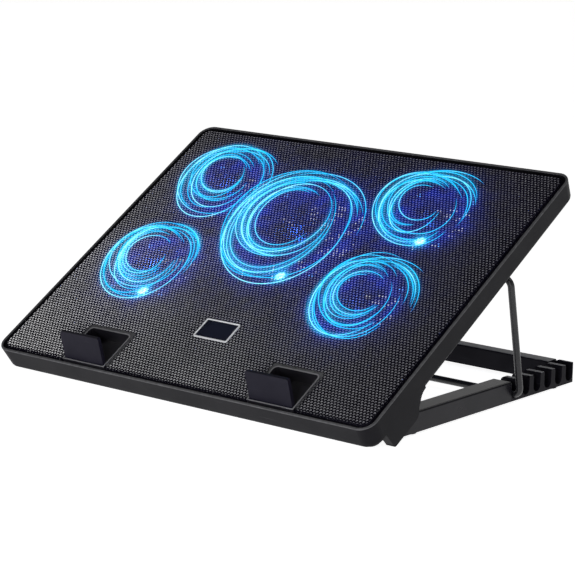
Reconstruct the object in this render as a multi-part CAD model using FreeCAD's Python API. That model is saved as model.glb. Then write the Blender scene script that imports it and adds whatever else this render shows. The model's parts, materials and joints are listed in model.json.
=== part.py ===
import FreeCAD, Part
import math
import os

# Laptop cooling pad: a tilted fan tray on a flat folding base, millimetres.
# Row frame: +X to the user's right, +Y to the rear, +Z up, origin at the bottom centre.
# Pad frame (x, v, w): v runs up the tray from its top front edge, w is normal to the top.

V = FreeCAD.Vector
X_AXIS = V(1, 0, 0)
Z_AXIS = V(0, 0, 1)

# ---------------------------------------------------------------- driving sizes
pad_width = 380.0
pad_depth = 299.0
pad_tilt = 31.5              # degrees, the steepest of the six settings
front_edge_y = -141.2           # row position of the pad's top front edge
front_edge_z = 18.6
corner_radius = 12.0
side_draft = 0.078           # inset of the walls per millimetre of depth
front_thickness = 20.9
rear_taper = 0.0088          # the tray gets thinner towards the rear
wall = 2.4

lip_width = 1.9
gutter_width = 3.1
ledge_width = 6.0
ledge_drop = 2.6
panel_rise = 0.2             # mesh panel above the lip
panel_sheet = 0.8
panel_roll = 2.2             # rolled edge of the mesh panel

hinge_v = 30.0
hinge_w = -28.5
hinge_pin_radius = 2.0
running_gap = 0.05

cheek_inner_x = 180.4
cheek_bottom_w = -35.2

arm_outer_x = 180.0
arm_width = 17.0
arm_bottom_z = 2.3
arm_top_z = 17.9
arm_wall = 2.4
eye_radius = 7.0

slot_count = 6
slot_pitch = 15.3
slot_width = 9.6
first_slot_y = 199.6         # measured from the pad's top front edge
slot_bottom_z = 4.2
tooth_top_z = 18.3
base_rear_y = 283.4
crossbar_depth = 12.6
crossbar_top_z = 18.5

wire_diameter = 5.5
wire_leg_x = 185.0
wire_bend_radius = 7.0
wire_inner_x = 157.0
wire_pivot_v = 197.6
wire_pivot_w = -22.6
rod_z = 7.2

fan_group_x = -8.0
corner_fan_x = 104.0
front_fan_v = 121.0
rear_fan_v = 227.0
middle_fan_v = 187.0
fan_bottom_w = -15.9
fan_top_w = -4.0

pocket_x = 95.25
pocket_width = 44.5
pocket_front_v = 4.6
pocket_rear_v = 43.4
pocket_wall = 1.1
pocket_corner = 4.6          # of the two rear corners
pocket_rim_w = 0.6
pocket_floor_w = -3.6
finger_well_v = 32.6
finger_well_w = -11.5

stopper_axis_v = 7.4
stopper_axis_w = -1.7
stopper_length = 24.6
stopper_thickness = 3.2
stopper_lean = 15.8          # degrees back from the pad's normal when it is up
stopper_pin_radius = 0.9

plate_width = 34.0
plate_depth = 21.0
plate_centre = (-1.5, 65.5)

control_x = -62.0            # middle of the socket and switch group on the rear wall
control_width = 92.0
control_height = 11.0
control_w = -9.4

SIDES = (("left", -1), ("right", 1))


# ---------------------------------------------------------------- helpers
def save(name, shape):
    shape.exportStep("parts/" + name + ".step")


def on_pad(shape):
    """Move a shape from the pad frame to the row frame."""
    moved = shape.copy()
    moved.rotate(V(0, 0, 0), X_AXIS, pad_tilt)
    moved.translate(V(0, front_edge_y, front_edge_z))
    return moved


def pad_point(x, v, w):
    """Row position of a point given in the pad frame."""
    tilt = math.radians(pad_tilt)
    y = v * math.cos(tilt) - w * math.sin(tilt) + front_edge_y
    z = v * math.sin(tilt) + w * math.cos(tilt) + front_edge_z
    return V(x, y, z)


def base_y(distance):
    """Row y of a place on the base, given behind the pad's top front edge."""
    return distance + front_edge_y


def box(x0, x1, y0, y1, z0, z1):
    return Part.makeBox(x1 - x0, y1 - y0, z1 - z0, V(x0, y0, z0))


def cylinder_x(radius, x0, x1, y, z):
    return Part.makeCylinder(radius, x1 - x0, V(x0, y, z), X_AXIS)


def tube(outer, inner, z0, z1, x=0.0, y=0.0):
    height = z1 - z0
    shell = Part.makeCylinder(outer, height, V(x, y, z0))
    return shell.cut(Part.makeCylinder(inner, height, V(x, y, z0)))


def rounded_outline(x0, x1, y0, y1, radius, z=0.0):
    """Closed wire of a rectangle with round corners, in a plane of constant z."""
    corners = ((x1, y0, -90), (x1, y1, 0), (x0, y1, 90), (x0, y0, 180))
    arcs = []
    for corner_x, corner_y, start in corners:
        centre_x = corner_x - radius if corner_x == x1 else corner_x + radius
        centre_y = corner_y - radius if corner_y == y1 else corner_y + radius
        circle = Part.Circle(V(centre_x, centre_y, z), Z_AXIS, radius)
        arcs.append(Part.Arc(circle, math.radians(start), math.radians(start + 90)).toShape())
    edges = []
    for index, arc in enumerate(arcs):
        following = arcs[(index + 1) % 4]
        edges.append(arc)
        edges.append(Part.makeLine(arc.Vertexes[-1].Point, following.Vertexes[0].Point))
    return Part.Wire(edges)


def rounded_block(x0, x1, y0, y1, radius, z0, z1):
    face = Part.Face(rounded_outline(x0, x1, y0, y1, radius, z0))
    return face.extrude(V(0, 0, z1 - z0))


def edges_at(shape, test):
    """Edges of a shape whose two ends and middle all pass a test on the point."""
    chosen = []
    for edge in shape.Edges:
        first, last = edge.ParameterRange
        points = [edge.valueAt(first), edge.valueAt((first + last) / 2), edge.valueAt(last)]
        if all(test(point) for point in points):
            chosen.append(edge)
    return chosen


def near(value, target, room=0.02):
    return abs(value - target) < room


def mirror_x(shape):
    return shape.mirror(V(0, 0, 0), X_AXIS)


def save_pair(name, right_shape, place=None):
    """Write a right-hand part and its mirror image for the left."""
    for side, sign in SIDES:
        shape = right_shape if sign > 0 else mirror_x(right_shape)
        save(name + "_" + side, place(shape) if place else shape)


# ---------------------------------------------------------------- the pad's shell
def pad_bottom_w(v):
    return -front_thickness + rear_taper * v


def drafted_block(inset, top_w, depth_below, radius, rise):
    """Block with drafted walls; its floor follows the pad's tapered underside."""
    half = pad_width / 2 - inset
    front = inset
    rear = pad_depth - inset
    shrink = side_draft * (top_w + depth_below)
    top = rounded_outline(-half, half, front, rear, radius, top_w)
    bottom = rounded_outline(-half + shrink, half - shrink, front + shrink, rear - shrink,
                             radius, -depth_below)
    bottom.translate(V(0, 0, rise))
    bottom.rotate(V(0, 0, -depth_below + rise), X_AXIS, math.degrees(math.atan(rear_taper)))
    return Part.makeLoft([top, bottom], True, True)


def cheek_outline():
    """Side view of a hinge cheek in the pad frame, with a rounded tip and heel."""
    top_w = -14.0
    tip_radius = 3.0
    heel_radius = 8.0
    fillet_radius = 9.0
    front_top = V(0, 15.0, top_w)
    front_low = V(0, 19.6, cheek_bottom_w + tip_radius + 0.6)
    tip = V(0, 23.2, cheek_bottom_w)
    tip_mid = V(0, 20.6, cheek_bottom_w + 0.9)
    heel_start = V(0, 57.0 - heel_radius, cheek_bottom_w)
    heel_end = V(0, 57.0, cheek_bottom_w + heel_radius - 1.2)
    heel_mid = V(0, 54.6, cheek_bottom_w + 2.2)
    rise_end = V(0, 61.0, -24.6)
    blend_mid = V(0, 64.4, -21.6)
    blend_end = V(0, 61.0 + fillet_radius, -20.3)
    rear_top = V(0, 61.0 + fillet_radius, top_w)
    edges = [
        Part.makeLine(front_top, front_low),
        Part.Arc(front_low, tip_mid, tip).toShape(),
        Part.makeLine(tip, heel_start),
        Part.Arc(heel_start, heel_mid, heel_end).toShape(),
        Part.makeLine(heel_end, rise_end),
        Part.Arc(rise_end, blend_mid, blend_end).toShape(),
        Part.makeLine(blend_end, rear_top),
        Part.makeLine(rear_top, front_top),
    ]
    return Part.Wire(edges)


def cheek():
    """Right-hand cheek: a lug under the tray's side wall, bored for the hinge pin."""
    lug = Part.Face(cheek_outline()).extrude(V(20, 0, 0))
    lug.translate(V(cheek_inner_x, 0, 0))
    half = pad_width / 2
    low_w = -40.0
    section = Part.makePolygon([
        V(cheek_inner_x, 0, -12),
        V(half + side_draft * -12, 0, -12),
        V(half + side_draft * low_w, 0, low_w),
        V(cheek_inner_x, 0, low_w),
        V(cheek_inner_x, 0, -12),
    ])
    drafted = Part.Face(section).extrude(V(0, 90, 0))
    body = lug.common(drafted)
    pin_end_x = 185.9
    bore = cylinder_x(hinge_pin_radius + running_gap, cheek_inner_x - 1, pin_end_x, hinge_v, hinge_w)
    return body.cut(bore)


def control_window(grow):
    half = control_width / 2 + grow
    tall = control_height / 2 + grow
    return box(control_x - half, control_x + half, pad_depth - 12, pad_depth + 5,
               control_w - tall, control_w + tall)


def pad_frame():
    """Outer walls with lip, mesh ledge and the two hinge cheeks, one moulding."""
    outer = drafted_block(0.0, 0.0, front_thickness, corner_radius, 0.0)
    low_edges = edges_at(outer, lambda p: near(p.z, pad_bottom_w(p.y), 0.3))
    outer = outer.makeFillet(3.6, low_edges)
    top_edges = edges_at(outer, lambda p: near(p.z, 0))
    outer = outer.makeFillet(0.8, top_edges)
    inner_radius = corner_radius - 4
    cavity = drafted_block(lip_width + ledge_width, 1.0, front_thickness + 2, inner_radius, 0.0)
    lower_inset = wall + 0.9
    half = pad_width / 2 - lower_inset
    lower_top = -ledge_drop - 2.0
    lower = rounded_block(-half, half, lower_inset, pad_depth - lower_inset, inner_radius,
                          -front_thickness - 2, lower_top)
    half_seat = pad_width / 2 - lip_width
    seat = rounded_block(-half_seat, half_seat, lip_width, pad_depth - lip_width,
                         corner_radius - lip_width, -ledge_drop, 1.0)
    frame = outer.cut(cavity).cut(lower).cut(seat)
    for side_cheek in (cheek(), mirror_x(cheek())):
        frame = frame.fuse(side_cheek)
    frame = frame.cut(control_window(0.15))
    for sign in (-1, 1):
        frame = frame.cut(pocket_block(sign, 0.3))
    return frame.removeSplitter()


def tub_block(x0, x1, v0, v1, radius, w0, w1):
    """Block with square front corners and round rear corners."""
    block = box(x0, x1, v0, v1, w0, w1)
    rear_corners = edges_at(block, lambda p: near(p.y, v1) and (near(p.x, x0) or near(p.x, x1)))
    return block.makeFillet(radius, rear_corners)


def pocket_block(sign, grow):
    centre = sign * pocket_x
    half = pocket_width / 2 + grow
    return tub_block(centre - half, centre + half, pocket_front_v - grow, pocket_rear_v + grow,
                     pocket_corner + grow, -front_thickness + 3, 3.0)


def top_mesh_panel():
    """Shallow sheet-metal pan, edges rolled down to the ledge, with two stopper openings."""
    inset = lip_width + gutter_width
    half = pad_width / 2 - inset
    radius = corner_radius - inset
    pan = rounded_block(-half, half, inset, pad_depth - inset, radius, -ledge_drop, panel_rise)
    pan = pan.makeFillet(panel_roll, edges_at(pan, lambda p: near(p.z, panel_rise)))
    hollow_half = half - panel_sheet
    hollow = rounded_block(-hollow_half, hollow_half, inset + panel_sheet,
                           pad_depth - inset - panel_sheet, radius - panel_sheet,
                           -ledge_drop, panel_rise - panel_sheet)
    inner_edges = edges_at(hollow, lambda p: near(p.z, panel_rise - panel_sheet))
    hollow = hollow.makeFillet(panel_roll - panel_sheet, inner_edges)
    panel = pan.cut(hollow)
    for sign in (-1, 1):
        panel = panel.cut(pocket_block(sign, 0.1))
    return panel


# ---------------------------------------------------------------- underside
def fan_places():
    """Name, centre and outer radius of each fan, in the pad frame."""
    corner_outer = 37.5
    middle_outer = 60.0
    places = []
    for row, v in (("front", front_fan_v), ("rear", rear_fan_v)):
        for side, sign in SIDES:
            places.append((row + "_" + side, fan_group_x + sign * corner_fan_x, v, corner_outer))
    places.append(("middle", fan_group_x, middle_fan_v, middle_outer))
    return places


def cover_screw_places():
    places = []
    for x in (-172.0, -58.0, 58.0, 172.0):
        places.append((x, pad_depth - 12.0))
    for x in (-160.0, -58.0, 58.0, 160.0):
        places.append((x, 54.0))
    return places


def tapered(shape):
    """Tilt a flat part to follow the pad's tapered underside."""
    moved = shape.copy()
    moved.rotate(V(0, 0, 0), X_AXIS, math.degrees(math.atan(rear_taper)))
    return moved


cover_inset = wall + 1.2
cover_sheet = 2.0
cover_low = -front_thickness + 0.5
vent_gap = 0.2


def bottom_cover():
    """Plate that closes the tray from below, with a round vent under each fan."""
    half = pad_width / 2 - cover_inset
    plate = rounded_block(-half, half, cover_inset, pad_depth - cover_inset, 7.0,
                          cover_low, cover_low + cover_sheet)
    for name, x, v, outer in fan_places():
        vent = Part.makeCylinder(outer - 2.5, 20, V(x, v, cover_low - 8))
        plate = plate.cut(vent)
    for sign in (-1, 1):
        inner = cheek_inner_x - 0.3
        notch = box(inner, inner + 12, 12.0, 72.0, -30, -5)
        plate = plate.cut(notch if sign > 0 else mirror_x(notch))
    plate = tapered(plate)
    for x, v in cover_screw_places():
        plate = plate.cut(Part.makeCylinder(1.6, 20, V(x, v, -30)))
    return plate


def fan_grille(x, v, outer):
    """Guard of round rings on straight spokes, set into its vent."""
    low = cover_low
    high = cover_low + 1.6
    rim_outer = outer - 2.5 - vent_gap
    ring_width = 1.5
    guard = tube(rim_outer, rim_outer - 2.2, low, high, x, v)
    radius = rim_outer - 8.0
    while radius > 12:
        guard = guard.fuse(tube(radius, radius - ring_width, low, high, x, v))
        radius -= 7.0
    guard = guard.fuse(Part.makeCylinder(9.0, high - low, V(x, v, low)))
    spoke_count = 6
    for index in range(spoke_count):
        spoke = box(0, rim_outer - 1.0, -0.9, 0.9, low, high)
        spoke.rotate(V(0, 0, 0), Z_AXIS, index * 360 / spoke_count + 15)
        spoke.translate(V(x, v, 0))
        guard = guard.fuse(spoke)
    return tapered(guard.removeSplitter())


def cover_screws():
    """Eight pan-head screws with cross slots, in the bottom cover."""
    head_radius = 2.9
    head_height = 1.1
    seat_gap = 0.03              # the heads are square to the pad, the cover is tapered
    screws = []
    for x, v in cover_screw_places():
        low = cover_low + rear_taper * v - seat_gap
        head = Part.makeCylinder(head_radius, head_height, V(x, v, low - head_height))
        head = head.makeFillet(0.6, edges_at(head, lambda p: near(p.z, low - head_height)))
        for slot in (box(x - 1.7, x + 1.7, v - 0.35, v + 0.35, low - 2, low - 0.5),
                     box(x - 0.35, x + 0.35, v - 1.7, v + 1.7, low - 2, low - 0.5)):
            head = head.cut(slot)
        shank = Part.makeCylinder(1.4, 3.2, V(x, v, low))
        screws.append(head.fuse(shank))
    return Part.makeCompound(screws)


# ---------------------------------------------------------------- fans
shaft_radius = 1.2
motor_top = fan_bottom_w + 3.6
rotor_bottom = fan_bottom_w + 4.2
rotor_top = fan_top_w - 0.8


def hub_radius(outer):
    return 0.24 * outer + 3.5


def fan_frame(x, v, outer):
    """Ring duct, spokes and motor seat with the bearing bore."""
    ring = tube(outer, outer - 1.8, fan_bottom_w, fan_top_w, x, v)
    hub = hub_radius(outer)
    frame = ring.fuse(Part.makeCylinder(hub, 2.0, V(x, v, fan_bottom_w)))
    spoke_count = 4
    for index in range(spoke_count):
        spoke = box(hub - 1, outer - 1, -1.4, 1.4, fan_bottom_w, fan_bottom_w + 2.0)
        spoke.rotate(V(0, 0, 0), Z_AXIS, index * 360 / spoke_count + 45)
        spoke.translate(V(x, v, 0))
        frame = frame.fuse(spoke)
    ear_count = 3
    for index in range(ear_count):
        angle = math.radians(index * 360 / ear_count + 90)
        reach = outer + 2.2
        ear_x = x + reach * math.cos(angle)
        ear_v = v + reach * math.sin(angle)
        ear = Part.makeCylinder(3.4, 3.0, V(ear_x, ear_v, fan_bottom_w))
        frame = frame.fuse(ear).cut(Part.makeCylinder(1.3, 3.0, V(ear_x, ear_v, fan_bottom_w)))
        frame = frame.cut(Part.makeCylinder(outer - 1.8, 3.0, V(x, v, fan_bottom_w + 2.0)))
    bearing = Part.makeCylinder(2.8, motor_top - fan_bottom_w, V(x, v, fan_bottom_w))
    frame = frame.fuse(bearing)
    bore = Part.makeCylinder(shaft_radius + running_gap, 10, V(x, v, fan_bottom_w - 1))
    return frame.cut(bore).removeSplitter()


def fan_blade(hub, tip, low, high, twist_deg):
    """One pitched blade between two radii, curved in plan."""
    thickness = 1.1
    sections = []
    steps = 3
    for step in range(steps + 1):
        share = step / steps
        radius = hub - 1.0 + (tip - hub + 1.0) * share
        sweep = math.radians(twist_deg * share * share)
        corners = []
        for along, level in ((-1, high), (1, low)):
            angle = sweep + along * math.radians(15.0)
            corners.append(V(radius * math.cos(angle), radius * math.sin(angle), level))
        rise = V(0, 0, thickness)
        wire = Part.makePolygon([corners[0], corners[1], corners[1] + rise, corners[0] + rise,
                                 corners[0]])
        sections.append(wire)
    return Part.makeLoft(sections, True, False)


def fan_rotor(x, v, outer):
    """Hub cap with its shaft and nine swept blades."""
    hub = hub_radius(outer)
    tip = outer - 1.8 - 1.4
    blade_count = 9
    cap = Part.makeCylinder(hub, rotor_top - rotor_bottom, V(0, 0, rotor_bottom))
    cap = cap.makeFillet(1.2, edges_at(cap, lambda p: near(p.z, rotor_top)))
    cup = Part.makeCylinder(hub - 1.6, rotor_top - rotor_bottom - 1.6, V(0, 0, rotor_bottom))
    shaft_bottom = fan_bottom_w + 0.4
    shaft = Part.makeCylinder(shaft_radius, rotor_top - 0.8 - shaft_bottom, V(0, 0, shaft_bottom))
    rotor = cap.cut(cup).fuse(shaft)
    for index in range(blade_count):
        blade = fan_blade(hub, tip, rotor_bottom + 0.4, rotor_top - 2.2, 24.0)
        blade.rotate(V(0, 0, 0), Z_AXIS, index * 360 / blade_count)
        rotor = rotor.fuse(blade.cut(Part.makeCylinder(hub - 1.2, 30, V(0, 0, -20))))
    rotor.translate(V(x, v, 0))
    return rotor


def fan_lights(x, v, outer):
    """Four light chips on the rim of a fan's duct."""
    chips = []
    for index in range(4):
        chip = box(outer - 2.6, outer + 0.6, -1.8, 1.8, fan_top_w, fan_top_w + 1.3)
        chip.rotate(V(0, 0, 0), Z_AXIS, index * 90 + 45)
        chip.translate(V(x, v, 0))
        chips.append(chip)
    return Part.makeCompound(chips)


# ---------------------------------------------------------------- stoppers
def stopper_pocket():
    """Right-hand tub in the mesh: shallow floor for the stopper, finger well behind it."""
    half = pocket_width / 2
    low = finger_well_w - pocket_wall
    x0 = pocket_x - half
    x1 = pocket_x + half
    body = tub_block(x0, x1, pocket_front_v, pocket_rear_v, pocket_corner,
                     pocket_floor_w - pocket_wall, pocket_rim_w)
    well_shell = tub_block(x0, x1, finger_well_v - pocket_wall, pocket_rear_v, pocket_corner, low,
                           pocket_floor_w)
    body = body.fuse(well_shell).removeSplitter()
    front_inner = pocket_front_v + 0.8
    inner_corner = pocket_corner - pocket_wall
    inner = tub_block(x0 + pocket_wall, x1 - pocket_wall, front_inner,
                      pocket_rear_v - pocket_wall, inner_corner, pocket_floor_w, 3.0)
    well = tub_block(x0 + pocket_wall, x1 - pocket_wall, finger_well_v,
                     pocket_rear_v - pocket_wall, inner_corner, finger_well_w, pocket_floor_w)
    body = body.cut(inner.fuse(well).removeSplitter())
    scoop_radius = 9.0
    scoop = Part.makeCylinder(scoop_radius, 6.0, V(pocket_x + 2, finger_well_v + 4.5, -4.5))
    scoop = scoop.common(box(x0, x1, finger_well_v - 4.0, finger_well_v + 1, -5.0, 1.0))
    body = body.cut(scoop)
    pin_hole = cylinder_x(stopper_pin_radius, x0, x1, stopper_axis_v, stopper_axis_w)
    return body.cut(pin_hole)


def stopper():
    """Right-hand flap, standing up from its hinge barrel and leaning back."""
    clear = 0.5
    half = pocket_width / 2 - pocket_wall - clear
    t = stopper_thickness / 2
    barrel = cylinder_x(t, -half, half, 0, 0)
    plate = box(-half, half, -t, t, 0, stopper_length)
    top_sides = edges_at(plate, lambda p: near(abs(p.x), half) and near(p.z, stopper_length))
    plate = plate.makeFillet(1.4, top_sides)
    flap = barrel.fuse(plate).removeSplitter()
    recess_depth = 0.7
    recess = box(-half + 2.5, half - 2.5, t - recess_depth, t + 1, 5.0, stopper_length - 3.0)
    flap = flap.cut(recess)
    flap = flap.cut(cylinder_x(stopper_pin_radius + running_gap, -half - 1, half + 1, 0, 0))
    flap.rotate(V(0, 0, 0), X_AXIS, -stopper_lean)
    flap.translate(V(pocket_x, stopper_axis_v, stopper_axis_w))
    return flap


def stopper_pin():
    reach = pocket_width / 2 - 0.2
    return cylinder_x(stopper_pin_radius, pocket_x - reach, pocket_x + reach,
                      stopper_axis_v, stopper_axis_w)


def name_plate():
    """Blank badge with a raised border, bonded to the mesh."""
    x, v = plate_centre
    x0 = x - plate_width / 2
    x1 = x + plate_width / 2
    v0 = v - plate_depth / 2
    v1 = v + plate_depth / 2
    plate = rounded_block(x0, x1, v0, v1, 1.6, panel_rise, panel_rise + 0.9)
    border = 0.9
    field = rounded_block(x0 + border, x1 - border, v0 + border, v1 - border, 0.9,
                          panel_rise + 0.65, panel_rise + 2)
    return plate.cut(field)


# ---------------------------------------------------------------- sockets and switches
socket_xs = (control_x - 33.0, control_x - 13.0)
rocker_xs = (control_x + 11.0, control_x + 33.0)
socket_width = 14.2
socket_height = 6.8
socket_depth = 13.0
rocker_width = 15.0
rocker_height = 6.6
rocker_throw = 8.0           # degrees each side of level
control_face_v = pad_depth - 1.3


def control_bezel():
    """Block in the rear wall that carries the two sockets and the two rockers."""
    half = control_width / 2
    tall = control_height / 2
    bezel = box(control_x - half, control_x + half, control_face_v - 3.0, control_face_v,
                control_w - tall, control_w + tall)
    rear_edges = edges_at(bezel, lambda p: near(p.y, control_face_v))
    bezel = bezel.makeChamfer(0.5, rear_edges)
    for x in socket_xs:
        bezel = bezel.cut(box(x - socket_width / 2, x + socket_width / 2, 0, pad_depth + 5,
                              control_w - socket_height / 2, control_w + socket_height / 2))
    for x in rocker_xs:
        grow = 0.5
        bezel = bezel.cut(box(x - rocker_width / 2 - grow, x + rocker_width / 2 + grow, 0,
                              pad_depth + 5, control_w - rocker_height / 2 - grow,
                              control_w + rocker_height / 2 + grow))
    return bezel


def usb_socket(x):
    """Sheet-metal shell with a contact tongue set back inside it."""
    sheet = 0.5
    half = socket_width / 2
    tall = socket_height / 2
    front = control_face_v - socket_depth
    shell = box(x - half, x + half, front, control_face_v - 0.3, control_w - tall, control_w + tall)
    room = box(x - half + sheet, x + half - sheet, front + 1.5, control_face_v + 1,
               control_w - tall + sheet, control_w + tall - sheet)
    tongue_set_back = 4.8
    tongue = box(x - 5.6, x + 5.6, front + 1.0, control_face_v - tongue_set_back,
                 control_w + 0.4, control_w + 2.2)
    return shell.cut(room).fuse(tongue)


def circuit_board():
    """Board under the sockets and switches."""
    high = control_w - socket_height / 2
    half = control_width / 2 - 4
    return box(control_x - half, control_x + half, control_face_v - 32, control_face_v - 4.0,
               high - 1.6, high)


rocker_pin_radius = 0.8
rocker_axis_depth = 2.4


def rocker_cradle(x):
    """U-shaped cradle behind the bezel, bored for the rocker's pins."""
    outer_half = rocker_width / 2 + 1.6
    outer_tall = rocker_height / 2 + 1.7
    back = control_face_v - 9.0
    cradle = box(x - outer_half, x + outer_half, back, control_face_v - 3.0,
                 control_w - socket_height / 2, control_w + outer_tall)
    room = box(x - rocker_width / 2 - 0.6, x + rocker_width / 2 + 0.6, back + 1.2,
               control_face_v, control_w - rocker_height, control_w + rocker_height / 2 + 0.4)
    cradle = cradle.cut(room)
    pin_v = control_face_v - rocker_axis_depth - 2.0
    bore = Part.makeCylinder(rocker_pin_radius + running_gap, 20, V(x, pin_v, control_w - 10))
    return cradle.cut(bore)


def rocker(x):
    """Rocker with two sloping faces, turned onto its rest side."""
    half = rocker_width / 2 - 0.6
    tall = rocker_height / 2
    throw = math.radians(rocker_throw)
    depth = 2.0
    crown = rocker_axis_depth + 1.1
    outline = Part.makePolygon([
        V(-half, -depth, -tall),
        V(half, -depth, -tall),
        V(half, crown - half * math.tan(throw) + 1.5, -tall),
        V(0, crown - 0.4, -tall),
        V(-half, crown - half * math.tan(throw) + 1.5, -tall),
        V(-half, -depth, -tall),
    ])
    body = Part.Face(outline).extrude(V(0, 0, 2 * tall))
    pin = Part.makeCylinder(rocker_pin_radius, 2 * tall + 2.0, V(0, 0, -tall))
    body = body.fuse(pin)
    body.rotate(V(0, 0, 0), Z_AXIS, -rocker_throw)
    body.translate(V(x, control_face_v - rocker_axis_depth - 2.0, control_w))
    return body


# ---------------------------------------------------------------- wire stand
def wire_geometry():
    """Pivot, rod and unit direction of the wire's legs, in the row frame."""
    pivot = pad_point(0, wire_pivot_v, wire_pivot_w)
    rod = V(0, base_y(first_slot_y), rod_z)
    direction = rod - pivot
    length = direction.Length
    direction.normalize()
    return pivot, direction, length


def wire_path():
    """Centre line: in along the pivot, down a leg, across the rod and back up."""
    pivot, direction, length = wire_geometry()
    r = wire_bend_radius

    def place(x, along):
        return pivot + direction * along + V(x, 0, 0)

    def bend(x_sign, along, down_sign):
        """Quarter bend at a leg's upper (down_sign 1) or lower (-1) corner."""
        centre_x = x_sign * (wire_leg_x - r)
        centre_along = along + down_sign * r
        diagonal = r * math.sqrt(0.5)
        side = place(x_sign * wire_leg_x, centre_along)
        middle = place(centre_x + x_sign * diagonal, centre_along - down_sign * diagonal)
        flat = place(centre_x, along)
        return side, middle, flat

    edges = []
    upper_left = bend(-1, 0, 1)
    lower_left = bend(-1, length, -1)
    lower_right = bend(1, length, -1)
    upper_right = bend(1, 0, 1)
    edges.append(Part.makeLine(place(-wire_inner_x, 0), upper_left[2]))
    edges.append(Part.Arc(upper_left[2], upper_left[1], upper_left[0]).toShape())
    edges.append(Part.makeLine(upper_left[0], lower_left[0]))
    edges.append(Part.Arc(lower_left[0], lower_left[1], lower_left[2]).toShape())
    edges.append(Part.makeLine(lower_left[2], lower_right[2]))
    edges.append(Part.Arc(lower_right[2], lower_right[1], lower_right[0]).toShape())
    edges.append(Part.makeLine(lower_right[0], upper_right[0]))
    edges.append(Part.Arc(upper_right[0], upper_right[1], upper_right[2]).toShape())
    edges.append(Part.makeLine(upper_right[2], place(wire_inner_x, 0)))
    return Part.Wire(edges)


def wire_stand():
    path = wire_path()
    start = path.Vertexes[0].Point
    profile = Part.Wire([Part.Circle(start, X_AXIS, wire_diameter / 2).toShape()])
    return path.makePipeShell([profile], True, False)


def wire_clip(right_cover):
    """Right-hand saddle under the tray that the wire turns in."""
    x0 = 161.0
    x1 = 173.0
    half = 5.6
    low = wire_pivot_w - wire_diameter / 2 - 1.8
    clip = box(x0, x1, wire_pivot_v - half, wire_pivot_v + half, low, wire_pivot_w + 6)
    low_edges = edges_at(clip, lambda p: near(p.z, low) and abs(p.y - wire_pivot_v) > half - 0.1)
    clip = clip.makeFillet(3.0, low_edges)
    bore = cylinder_x(wire_diameter / 2 + running_gap, x0 - 1, x1 + 1, wire_pivot_v, wire_pivot_w)
    keep = box(x0 - 1, x1 + 1, wire_pivot_v - 20, wire_pivot_v + 20, low - 1,
               pad_bottom_w(wire_pivot_v) + 0.45)
    return clip.common(keep).cut(bore).cut(right_cover)


# ---------------------------------------------------------------- base
def hinge_row_point():
    return pad_point(0, hinge_v, hinge_w)


def arm_x0():
    return arm_outer_x - arm_width


def first_slot_front():
    return base_y(first_slot_y - slot_width / 2)


def base_arm():
    """Right-hand arm: a channel open below, with a round eye at its front end."""
    axis = hinge_row_point()
    x0 = arm_x0()
    end = first_slot_front()
    bar_start = axis.y + eye_radius + 6.0
    bar = box(x0, arm_outer_x, bar_start, end, arm_bottom_z, arm_top_z)
    neck = Part.makePolygon([
        V(x0, bar_start, arm_bottom_z),
        V(x0, bar_start, arm_top_z),
        V(x0, axis.y + 1.6, axis.z + 6.8),
        V(x0, axis.y - 1.2, axis.z - 6.9),
        V(x0, axis.y + 3.4, arm_bottom_z),
        V(x0, bar_start, arm_bottom_z),
    ])
    neck_solid = Part.Face(neck).extrude(V(arm_width, 0, 0))
    eye = cylinder_x(eye_radius, x0, arm_outer_x, axis.y, axis.z)
    arm = bar.fuse(neck_solid).fuse(eye).removeSplitter()
    hollow = box(x0 + arm_wall, arm_outer_x - arm_wall, bar_start + 2.0, end - arm_wall,
                 arm_bottom_z - 1, arm_top_z - arm_wall)
    long_edges = edges_at(arm, lambda p: near(p.z, arm_top_z) and near(abs(p.x), arm_outer_x))
    arm = arm.makeChamfer(0.9, long_edges)
    groove = box(arm_outer_x - 2.3, arm_outer_x - 1.6, axis.y + 15, end - 0.0,
                 arm_top_z - 0.5, arm_top_z + 1)
    arm = arm.cut(hollow).cut(groove)
    rib_count = 5
    for index in range(rib_count):
        rib_y = bar_start + 18 + index * (end - bar_start - 36) / (rib_count - 1)
        rib = box(x0 + arm_wall, arm_outer_x - arm_wall, rib_y - 0.8, rib_y + 0.8,
                  arm_bottom_z + 3.0, arm_top_z - arm_wall)
        arm = arm.fuse(rib)
    bore = cylinder_x(hinge_pin_radius, x0 + 3.0, arm_outer_x + 1, axis.y, axis.z)
    return arm.fuse(front_foot_seat()).cut(bore).removeSplitter()


foot_radius = 5.5
front_foot_recess = 0.5        # the front foot stands up inside the arm's channel
foot_places_y = {"front": 74.0, "rear": 262.0}


def foot_centre_x():
    return arm_outer_x - arm_width / 2


def front_foot_seat():
    """Boss inside the arm's channel that backs the front rubber foot."""
    y = base_y(foot_places_y["front"])
    return Part.makeCylinder(foot_radius + 0.6, arm_top_z - arm_bottom_z - 1.5,
                             V(foot_centre_x(), y, arm_bottom_z + front_foot_recess))


def base_foot(row):
    """Right-hand round rubber foot."""
    y = base_y(foot_places_y[row])
    top = arm_bottom_z + (front_foot_recess if row == "front" else 0.0)
    foot = Part.makeCylinder(foot_radius, top, V(foot_centre_x(), y, 0))
    return foot.makeFillet(0.8, edges_at(foot, lambda p: near(p.z, 0)))


def slot_centres():
    return [base_y(first_slot_y + index * slot_pitch) for index in range(slot_count)]


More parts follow.
